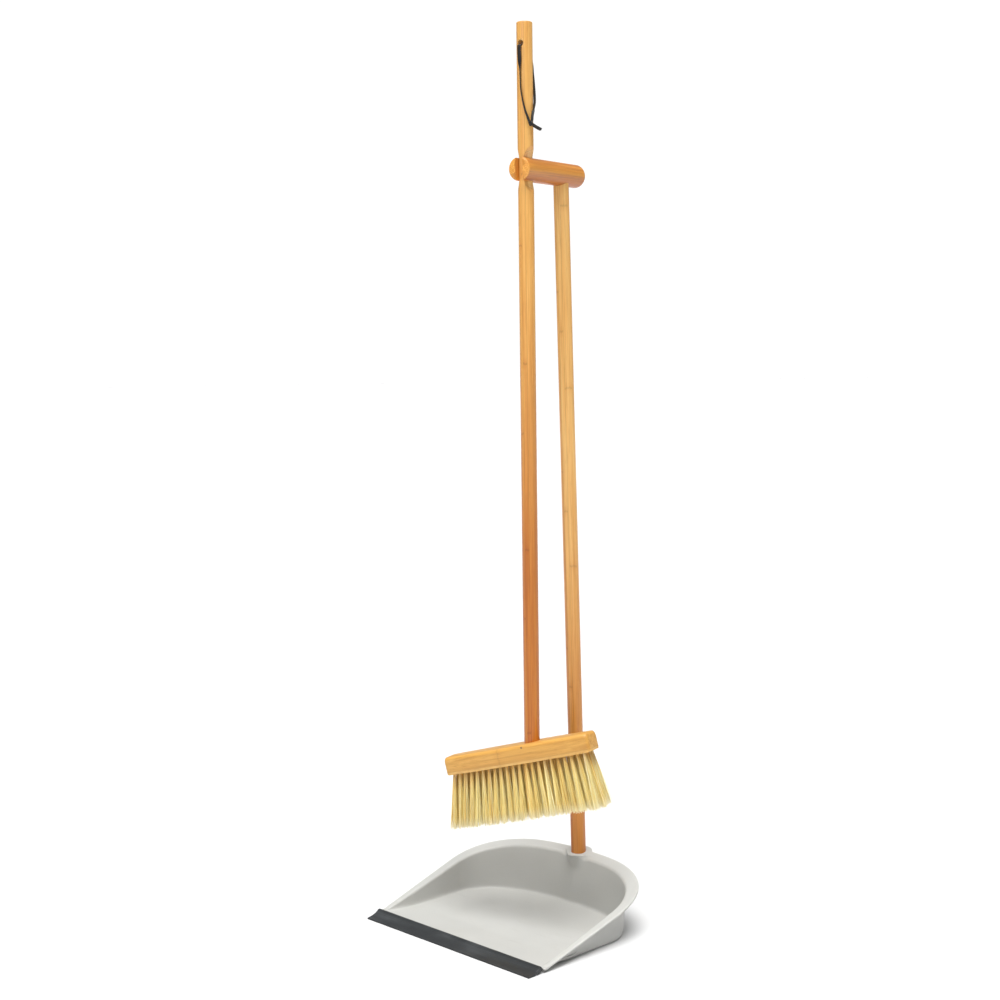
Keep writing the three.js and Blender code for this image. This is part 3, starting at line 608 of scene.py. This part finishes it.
BOSS_MID_Z, BOSS_SLOPE, BOSS_R, BOSS_BLEND = 67.2, 0.335, 11.5, 9.5
BULGE_OUT, BULGE_FOOT_Z, BULGE_RISE, BULGE_W = 17.3, 42, 26, 14
BULGE_REACH_X = 40
RIM_DIP, DIP_R, DIP_W = 2.4, 18, 6.5


def boss(points):
    """Moves the sheet's points near the pan handle to the boss: a slanted round seat, with its front
    swelling softly out of the wall and the flange dipping a little round it."""
    x, y, z = points[:, 0].copy(), points[:, 1].copy(), points[:, 2].copy()
    seat = BOSS_MID_Z + BOSS_SLOPE * y
    reach = np.hypot(x, y)
    on_top = smooth_step((z - 52) / 10)
    raise_by = 1 - smooth_step((reach - BOSS_R) / BOSS_BLEND)
    z = z + (seat - z) * raise_by * on_top * (z > 61)
    front = smooth_step(-y / 8) * smooth_step((z - 50) / 8)
    z = z - RIM_DIP * np.exp(-((reach - DIP_R) / DIP_W) ** 2) * front
    bulge = BULGE_OUT * smooth_step((points[:, 2] - BULGE_FOOT_Z) / BULGE_RISE)
    wall = -bulge * np.exp(-(x / BULGE_W) ** 2)
    is_wall = (points[:, 1] < 0) & (np.abs(x) < BULGE_REACH_X)
    gap = 5.0
    pushed = (y + wall) / 2 - np.hypot((y - wall) / 2, gap * np.clip(1 - np.abs(x) / 30, 0, 1))
    y = np.where(is_wall, np.minimum(y, pushed), y)
    return np.stack([x, y, z], axis=1)


def dust_pan():
    near = np.linspace(0, 0.16, 34)
    shares = np.concatenate([near, np.linspace(0.16, 0.62, 50)[1:], np.linspace(0.62, 1.0, 44)[1:]])
    floor, rim, edge = (whole(at, shares) for at in (FLOOR_RAIL, RIM_RAIL, EDGE_RAIL))
    bump = np.sqrt(np.maximum(18.2 ** 2 - edge[:, 0] ** 2, 0))
    soft = 1.6
    behind = np.abs(edge[:, 0]) < 40
    raised = (edge[:, 1] + bump) / 2 + np.hypot((edge[:, 1] - bump) / 2, soft)
    edge[:, 1] = np.where(behind & (edge[:, 1] > 0), np.maximum(edge[:, 1], raised - soft * (bump < 6)), edge[:, 1])
    along = np.gradient(rim, axis=0)
    along /= np.linalg.norm(along, axis=1)[:, None]
    outward = np.stack([-along[:, 1], along[:, 0]], axis=1)
    sections = []
    worn = []
    for f, r, e, n in zip(floor, rim, edge, outward):
        def flat(point, z):
            return np.array(((point - r) @ n, float(z)))
        foot = flat(f, floor_top(f[1]))
        start = foot - (6, 0)
        top = flat(r, rim_height(r[1], RIM_TOP_Z))
        out = flat(e, rim_height(e[1], EDGE_TOP_Z))
        drop = min(2.6, max(out[1] - SHEET - 0.6, 0.4))
        hem = out - (0, drop)
        profile = np.vstack([
            [start], bend(start, foot, top, 6, 7), between(foot + (top - foot) * 0.2, top - (top - foot) * 0.16, 9),
            bend(foot, top, out, 4.2, 9), between(top + (out - top) * 0.36, out - (out - top) * 0.2, 6),
            bend(top, out, hem, 1.6, 5), [hem]])
        sections.append(np.stack([r[0] + n[0] * profile[:, 0], r[1] + n[1] * profile[:, 0], profile[:, 1]], axis=1))
        mark = np.zeros(len(profile))
        mark[-6:] = (0.3, 0.8, 1, 1, 0.8, 0.5)
        mark[19:24] = 0.25
        worn.append(mark)
    count = len(sections[0])
    skin = boss(np.vstack(sections))
    worn = np.concatenate(worn)
    rows = len(sections)
    faces = grid_faces(rows, count, around=False)
    spine_steps = 10
    ground = []
    for i in range(rows):
        inner = skin[i * count]
        target = np.array((0.0, min(inner[1], -92.0)))
        for step in range(1, spine_steps + 1):
            xy = inner[:2] + (target - inner[:2]) * step / spine_steps
            ground.append((xy[0], xy[1], float(floor_top(xy[1]))))
    base = len(skin)
    for i in range(rows - 1):
        ring_a = [i * count] + [base + i * spine_steps + k for k in range(spine_steps)]
        ring_b = [(i + 1) * count] + [base + (i + 1) * spine_steps + k for k in range(spine_steps)]
        for k in range(spine_steps):
            faces.append((ring_a[k], ring_a[k + 1], ring_b[k + 1], ring_b[k]))
    points = np.vstack([skin, ground])
    worn = np.concatenate([worn, np.zeros(len(ground))])
    front_left = [0] + [base + k for k in range(spine_steps)]
    front_right = [(rows - 1) * count] + [base + (rows - 1) * spine_steps + k for k in range(spine_steps)]
    front_row = front_left + front_right[::-1][1:]
    tip = []
    for index in front_row:
        x = points[index][0]
        tip.append((x, TONGUE_Y, float(floor_top(TONGUE_Y))))
    tip_at = len(points)
    points = np.vstack([points, tip])
    worn = np.concatenate([worn, np.zeros(len(tip))])
    for k in range(len(front_row) - 1):
        faces.append((front_row[k], front_row[k + 1], tip_at + k + 1, tip_at + k))
    return points, faces, worn


points, faces, worn = dust_pan()
pan = piece("dust_pan_sheet", points, faces, PAINT, "pan", SET, 60, "pan_paint", edge=worn)
work = bmesh.new()
work.from_mesh(pan.data)
bmesh.ops.remove_doubles(work, verts=work.verts, dist=2e-5)
bmesh.ops.recalc_face_normals(work, faces=work.faces)
lowest = min(work.faces, key=lambda face: (face.calc_center_median() - Vector((0, 0, 0))).length)
if lowest.normal.z < 0:
    bmesh.ops.reverse_faces(work, faces=work.faces)
work.to_mesh(pan.data)
work.free()
soften(pan.data, 60)
thick = pan.modifiers.new("sheet", "SOLIDIFY")
thick.thickness = SHEET * MM
thick.offset = -1
thick.use_even_offset = False
round_edge = pan.modifiers.new("round", "BEVEL")
round_edge.width = 0.00035
round_edge.segments = 2
round_edge.limit_method = "ANGLE"
round_edge.angle_limit = rad(50)
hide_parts("dust_pan")

profile = [(2.7, 56.4), (6.6, 56.4), (6.8, 56.2), (6.8, 45.8), (7.1, 45.2), (7.6, 45.0), (8.6, 45.4), (10.6, 48.5),
           (12.6, 53), (13.6, 57.5), (13.4, 61), (10, 62)]
points, faces = lathe(profile, 56)
piece("pan_boss_cup", points, faces, PAINT, "pan", SET, 60, "pan_paint", edge=np.zeros(len(points)))

# ---------------------------------------------------------------- rubber lip
def lip_profile():
    under = float(floor_top(FRONT_Y)) - SHEET
    bead_y, bead_z, bead_r = -228.0, 6.3, 2.75
    bead = [(bead_y + bead_r * math.cos(rad(a)), bead_z + bead_r * math.sin(rad(a)))
            for a in np.linspace(-20, 150, 16)]
    p0, p1, p2, p3 = map(np.array, (bead[-1], (-233.4, 5.6), (-237.5, 2.6), (-248.2, 1.35)))
    t = np.linspace(0, 1, 16)[1:, None]
    hollow = (1 - t) ** 3 * p0 + 3 * (1 - t) ** 2 * t * p1 + 3 * (1 - t) * t ** 2 * p2 + t ** 3 * p3
    nose = [(-248.48, 1.0), (-248.5, 0.5), (-248.3, 0.08)]
    below = [(-244, 0.0), (-238.5, 0.05), (-236, 0.5), (-231, 1.6), (-227.5, under - 1.9), (-225.2, under - 1.2),
             (-224.7, under - 0.4)]
    return np.array(bead + [tuple(p) for p in hollow] + nose + below)


outline = lip_profile()
stations = np.concatenate([[-150, -149.85, -149.5], np.linspace(-148.5, 148.5, 60), [149.5, 149.85, 150]])
centre = outline.mean(axis=0)
points = []
for x in stations:
    inset = {150.0: 0.55, 149.85: 0.25, 149.5: 0.06}.get(round(abs(x), 2), 0.0)
    length = np.linalg.norm(outline - centre, axis=1)[:, None]
    ring = centre + (outline - centre) * np.clip(1 - inset / length, 0.2, 1)
    points += [(x, y, z) for y, z in ring]
faces = grid_faces(len(stations), len(outline))
total = len(points)
faces += [tuple(range(len(outline)))[::-1], tuple(range(total - len(outline), total))]
lip = piece("rubber_lip_blade", points, faces, rubber(), "pan", SET, 42, "lip_rubber")
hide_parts("rubber_lip")

# ---------------------------------------------------------------- bamboo handles and crosspiece
# The handles' low tints are painted shade, darker towards their lower ends.
ROD = bamboo("bamboo_handle", (247, 206, 134), (236, 179, 96), (200, 126, 50), seed=0.21,
             low=((214, 172, 104), -0.56, -0.06))
PAN_ROD = bamboo("bamboo_pan_handle", (246, 200, 124), (232, 171, 88), (196, 126, 54), seed=0.57, nodes=0.2,
                 low=((218, 176, 116), 0.0, 0.6))
# The crosspiece's under tint is painted shade on its underside.
CROSS_WOOD = bamboo("bamboo_crosspiece", (248, 180, 84), (208, 127, 34), (146, 82, 14), strip=0.010, seed=0.83,
                    seams=0.05, nodes=0.0, dark=0.35, under=((190, 150, 80), -0.014, 0.006))
BLOCK_WOOD = bamboo("bamboo_block", (240, 196, 120), (222, 167, 80), (190, 130, 52), strip=0.03, seed=0.37,
                    node_at=-0.0185, nodes=0.15, seams=0.08)
PEG_WOOD = bamboo("dowel_wood", (236, 214, 176), (218, 190, 146), (186, 152, 104), strip=0.02, seed=0.11)


def rod(radii, sides=96, scoop_turn=None):
    """A round bar from (height, radius) rings. With scoop_turn, two scoops leave a flat neck at height 0."""
    angle = np.linspace(0, 2 * np.pi, sides, endpoint=False)
    points = []
    for z, radius in radii:
        ring = np.full(sides, float(radius))
        if scoop_turn is not None:
            rise = max(abs(z) - 10, 0)
            half = 3.5 + 28.7 - math.sqrt(max(28.7 ** 2 - rise ** 2, 0)) if rise < 28.7 else 99
            facing = np.abs(np.cos(angle - scoop_turn))
            flat_at = half / np.maximum(facing, 1e-3)
            ring = (ring + flat_at) / 2 - np.hypot((ring - flat_at) / 2, 0.08)
            ring = np.where(flat_at > 14, radius, ring)
        points += [(r * math.cos(a), r * math.sin(a), z) for r, a in zip(ring, angle)]
    faces = grid_faces(len(radii), sides)
    faces += [tuple(range(sides))[::-1], tuple(range(len(points) - sides, len(points)))]
    return np.array(points), faces


heights = np.concatenate([np.linspace(BRUSH_FOOT - 12, -40, 40), np.linspace(-38, 38, 77),
                          np.linspace(40, BRUSH_TOP - 2, 24)])
rounding = [(BRUSH_TOP - 1.6 + 1.6 * math.sin(a), 10 - 1.6 + 1.6 * math.cos(a)) for a in np.linspace(0, 1.5, 6)]
points, faces = rod([(z, 10) for z in heights] + rounding, scoop_turn=rad(8.5))
brush_rod = piece("brush_handle_rod", points, faces, ROD, None, BRUSH, 30)
angle = np.linspace(0, 2 * np.pi, 40, endpoint=False)
HOLE_R, HOLE_HEIGHT, HOLE_TURN = 4.2, 154, rad(11)
hole = [(HOLE_R * math.cos(a), y, HOLE_HEIGHT + HOLE_R * math.sin(a)) for y in (-14, 14) for a in angle]
hole = np.array(hole) @ np.array(Matrix.Rotation(HOLE_TURN, 3, "Z")).T
cutter = piece("hole_cutter", hole, grid_faces(2, 40) + [tuple(range(40))[::-1], tuple(range(40, 80))],
               ROD, None, BRUSH)
carve(brush_rod, cutter)
soften(brush_rod.data, 30)
edge_round = brush_rod.modifiers.new("round", "BEVEL")
edge_round.width = 0.00025
edge_round.segments = 2
edge_round.limit_method = "ANGLE"
edge_round.angle_limit = rad(50)
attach(brush_rod, "brush")
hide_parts("brush_handle")

# The pan handle's top is coped to the crosspiece's round underside.
angle = np.linspace(0, 2 * np.pi, 96, endpoint=False)
levels = np.concatenate([[0, 0.2, 0.8], np.linspace(12, CROSS_HEIGHT - 40, 46), np.linspace(0, 1, 10)[1:] + 2000])
points = []
for level in levels:
    for a in angle:
        x, y = math.cos(a), math.sin(a)
        shrink = {0: 9.2, 0.2: 9.7}.get(level, 10.0)
        px, py = shrink * x, shrink * y
        if level > 2000:
            across = px * math.cos(rad(15)) + py * math.sin(rad(15))
            cope = CROSS_HEIGHT - math.sqrt(15.1 ** 2 - across ** 2)
            z = CROSS_HEIGHT - 40 + (level - 2000) * (cope - CROSS_HEIGHT + 40)
        else:
            z = level
        points.append((px, py, z))
faces = grid_faces(len(levels), 96)
faces += [tuple(range(96))[::-1]]
top_start = (len(levels) - 1) * 96
points.append((0, 0, CROSS_HEIGHT - 15.1))
for j in range(96):
    faces.append((top_start + j, top_start + (j + 1) % 96, len(points) - 1))
pan_rod = piece("pan_handle_rod", points, faces, PAN_ROD, "pan", PAN_HANDLE, 40, "handle_bamboo")
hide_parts("pan_handle")

CROSS_R, CROSS_BEHIND, CROSS_AHEAD, BACK_ROUND = 15, 42.5, 108.5, 4.5
SLOT_HALF, SLOT_PAST_NECK = 5.15, 8
profile = [(CROSS_R - BACK_ROUND + BACK_ROUND * math.sin(a), BACK_ROUND - CROSS_BEHIND - BACK_ROUND * math.cos(a))
           for a in np.linspace(0.02, math.pi / 2, 22)]
profile += [(CROSS_R, z) for z in np.linspace(-36.5, CROSS_AHEAD - 2, 42)]
profile += [(CROSS_R - 0.35, CROSS_AHEAD - 0.8), (CROSS_R - 1.1, CROSS_AHEAD - 0.1), (CROSS_R - 1.4, CROSS_AHEAD),
            (6, CROSS_AHEAD)]
points, faces = lathe(profile, 96)
grain = points.copy() * MM
points = np.stack([points[:, 0], -points[:, 2], points[:, 1]], axis=1)
cut_end = (points[:, 1] < -(CROSS_AHEAD - 0.9)).astype(float)
cross = piece("crosspiece_bar", points, faces, CROSS_WOOD, None, CROSS, 30, grain=grain, end=cut_end)
arc = np.linspace(0, np.pi, 26)
slot_plan = [(-SLOT_HALF, -130), (SLOT_HALF, -130)]
slot_plan += [(SLOT_HALF * math.cos(a), SLOT_PAST_NECK - BRUSH_AHEAD + SLOT_HALF * math.sin(a)) for a in arc]
slot_points = [(x, y, z) for z in (-30, 30) for x, y in slot_plan]
count = len(slot_plan)
cutter = piece("slot_cutter", slot_points, grid_faces(2, count) + [tuple(range(count))[::-1],
               tuple(range(count, 2 * count))], CROSS_WOOD, None, CROSS)
carve(cross, cutter)
soften(cross.data, 30)
edge_round = cross.modifiers.new("round", "BEVEL")
edge_round.width = 0.0005
edge_round.segments = 2
edge_round.limit_method = "ANGLE"
edge_round.angle_limit = rad(45)
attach(cross, "pan")
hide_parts("crosspiece")

# ---------------------------------------------------------------- brush block
BLOCK_L, BLOCK_T, BLOCK_MID, BLOCK_END = 219.0, 24.0, 20.0, 14.0


def block_half(x):
    share = x / (BLOCK_L / 2)
    return BLOCK_MID - (BLOCK_MID - BLOCK_END) * share * share


def block_mesh():
    plan_round, top_round = 4.2, 5.0
    ends = [BLOCK_L / 2 - plan_round + plan_round * math.sin(a) for a in np.linspace(0, math.pi / 2, 9)]
    stops = np.concatenate([-np.array(ends)[::-1], np.linspace(-100, 100, 60), ends])
    quarter = np.linspace(0, math.pi / 2, 8)
    points = []
    for x in stops:
        from_end = BLOCK_L / 2 - abs(x)
        inset = 0.0
        if from_end < plan_round:
            inset = plan_round - math.sqrt(max(plan_round ** 2 - (plan_round - from_end) ** 2, 0))
        top_drop = 0.0
        if from_end < top_round:
            top_drop = top_round - math.sqrt(max(top_round ** 2 - (top_round - from_end) ** 2, 0))
        half = block_half(x) - inset
        low, high = -BLOCK_T + min(inset, 1.0) * 0.6, -top_drop
        r = min(top_round, half)
        ring = [(half - r + r * math.cos(a), high - r + r * math.sin(a)) for a in quarter]
        ring += [(-half + r - r * math.sin(a), high - r + r * math.cos(a)) for a in quarter]
        s = 1.2
        ring += [(-half + s - s * math.cos(a), low + s - s * math.sin(a)) for a in quarter[::2]]
        ring += [(half - s + s * math.sin(a), low + s - s * math.cos(a)) for a in quarter[::2]]
        points += [(x, y, z) for y, z in ring]
    size = len(points) // len(stops)
    faces = grid_faces(len(stops), size)
    faces += [tuple(range(size))[::-1], tuple(range(len(points) - size, len(points)))]
    return np.array(points), faces


points, faces = block_mesh()
grain = np.stack([points[:, 2], points[:, 1], points[:, 0]], axis=1) * MM
block = piece("brush_block_body", points, faces, BLOCK_WOOD, "brush", BLOCK, 40, "block_bamboo", grain=grain)
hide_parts("brush_block")

nail_at = Vector((16.0, -19.75, -3.2))
points, faces = lathe([(0.8, -3), (0.8, 0), (1.3, 0.02), (1.3, 0.12), (1.1, 0.32), (0.6, 0.44), (0.02, 0.47)], 24)
nail_turn = BLOCK @ Matrix.Translation(nail_at) @ Matrix.Rotation(rad(80), 4, "X")
nail = piece("block_nail_head", points, faces, steel("dark_steel", (150, 122, 86)), "brush", nail_turn, 40, "steel")
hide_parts("block_nail")

# ---------------------------------------------------------------- bristles
FIBRE = plant_fibre()
COLUMNS, ACROSS, FIBRES = 22, 4, 62
ROOT_SPAN, TIP_SPAN, TIP_SHIFT, TIP_Z = 197.0, 219.0, -6.5, -95.0
# How far the tips rise at the block's two ends, and the size of a tuft.
LEFT_RISE, RIGHT_RISE = 1.0, -0.9
TUFT_EDGE, TUFT_R, TUFT_FLARE, TUFT_SPREAD = 5.2, 1.7, 5.5, 4.5
chance = random.Random(4)


def fibre(start, end, bow, radius, points, faces, tints, alongs, tint):
    """One bristle: a thin three-sided strand that bows and narrows a little."""
    start, end, bow = map(Vector, (start, end, bow))
    rings = 5
    base = len(points)
    direction = (end - start).normalized()
    side = direction.orthogonal().normalized()
    other = direction.cross(side)
    spin = chance.uniform(0, 2.0)
    for i in range(rings):
        t = i / (rings - 1)
        middle = start.lerp(end, t) + bow * (t * t)
        thin = radius * (1.0 if t < 0.9 else 0.7)
        for k in range(3):
            a = spin + 2.0944 * k
            points.append(tuple(middle + side * thin * math.cos(a) + other * thin * math.sin(a)))
            tints.append(tint)
            alongs.append(t)
    faces += grid_faces(rings, 3, start=base)
    faces.append((base + 3 * rings - 3, base + 3 * rings - 2, base + 3 * rings - 1))


for column in range(COLUMNS):
    root_x = ROOT_SPAN * (column / (COLUMNS - 1) - 0.5)
    tip_x = root_x * TIP_SPAN / ROOT_SPAN + TIP_SHIFT
    lift = (LEFT_RISE if root_x < 0 else RIGHT_RISE) * abs(root_x / (ROOT_SPAN / 2)) ** 3
    points, faces, tints, alongs = [], [], [], []
    for row in range(ACROSS):
        share = 2 * row / (ACROSS - 1) - 1
        root_y = (block_half(root_x) - TUFT_EDGE) * share
        tip_y = root_y + TUFT_FLARE * share
        lean_x, lean_y = chance.gauss(0, 1.5), chance.gauss(0, 1.1)
        base_tint = chance.uniform(-0.12, 0.12)
        for _ in range(FIBRES):
            a, q = chance.uniform(0, 2 * math.pi), math.sqrt(chance.uniform(0, 1))
            dx, dy = q * math.cos(a), q * math.sin(a)
            root = (root_x + TUFT_R * dx, root_y + TUFT_R * dy, -BLOCK_T + 3)
            spread = TUFT_SPREAD + chance.gauss(0, 0.7)
            tip = (tip_x + lean_x + spread * dx, tip_y + lean_y + spread * dy,
                   TIP_Z + lift + chance.uniform(-1.4, 2.6) + (3.0 if chance.random() < 0.08 else 0))
            bow = (chance.gauss(0, 0.9), chance.gauss(0, 0.9), 0)
            tint = min(max(0.5 + base_tint + chance.gauss(0, 0.22), 0), 1)
            fibre(root, tip, bow, chance.uniform(0.2, 0.33), points, faces, tints, alongs, tint)
    name = f"{column + 1:02d}"
    tuft = piece(f"bristle_tufts_{name}", points, faces, FIBRE, "brush", BLOCK, 70, "bristle", tint=tints,
                 along=alongs)
    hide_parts(f"bristle_column_{name}")

# ---------------------------------------------------------------- hidden hardware keeps its CAD shape
SCREW_STEEL = steel("zinc_steel", (186, 188, 190))
for node, material in (("handle_screw", SCREW_STEEL), ("handle_washer", SCREW_STEEL), ("crosspiece_dowel", PEG_WOOD)):
    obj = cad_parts[node]
    obj.data.materials.clear()
    obj.data.materials.append(material)

# ---------------------------------------------------------------- floor and light
floor_mesh = bpy.data.meshes.new("floor")
floor_mesh.from_pydata([(-50, -50, 0), (50, -50, 0), (50, 50, 0), (-50, 50, 0)], [], [(0, 1, 2, 3)])
floor = bpy.data.objects.new("floor", floor_mesh)
bpy.context.scene.collection.objects.link(floor)
floor.location.z = -0.0002
paper = Nodes("pale_floor")
floor_mesh.materials.append(paper.set(Base_Color=(0.76, 0.76, 0.76, 1), Roughness=0.9, Specular_IOR_Level=0.1))

# The studio's walls are white where they are seen, and light the set mostly from above.
world = bpy.data.worlds.new("studio")
bpy.context.scene.world = world
world.use_nodes = True
sky = world.node_tree
coordinates = sky.nodes.new("ShaderNodeTexCoord")
height = sky.nodes.new("ShaderNodeSeparateXYZ")
sky.links.new(coordinates.outputs["Generated"], height.inputs[0])
dome = sky.nodes.new("ShaderNodeMapRange")
sky.links.new(height.outputs[2], dome.inputs["Value"])
for socket, number in (("From Min", -0.1), ("From Max", 1.0), ("To Min", 0.1), ("To Max", 0.45)):
    dome.inputs[socket].default_value = number
seen = sky.nodes.new("ShaderNodeLightPath")
strength = sky.nodes.new("ShaderNodeMix")
sky.links.new(seen.outputs["Is Camera Ray"], strength.inputs[0])
sky.links.new(dome.outputs[0], strength.inputs[2])
strength.inputs[3].default_value = 1.05
backdrop = sky.nodes["Background"]
backdrop.inputs["Color"].default_value = (1, 1, 1, 1)
sky.links.new(strength.outputs[0], backdrop.inputs["Strength"])
bpy.context.scene.view_settings.view_transform = "Standard"


def lamp(name, kind, place, aim, power, size=(1, 1)):
    data = bpy.data.lights.new(name, kind)
    data.energy = power
    if kind == "AREA":
        data.shape = "RECTANGLE"
        data.size, data.size_y = size
    else:
        data.angle = rad(size[0])
    obj = bpy.data.objects.new(name, data)
    bpy.context.scene.collection.objects.link(obj)
    obj.location = place
    obj.rotation_euler = (Vector(aim) - Vector(place)).to_track_quat("-Z", "Y").to_euler()


lamp("key", "SUN", (1.0, -1.0, 4.0), (0, 0, 0), 2.7, (36, 0))
lamp("top", "SUN", (-0.3, -0.4, 4.0), (0, 0, 0), 1.0, (70, 0))
lamp("front", "AREA", (0.6, -2.2, 1.9), (0, 0, 1.05), 11, (0.7, 0.7))
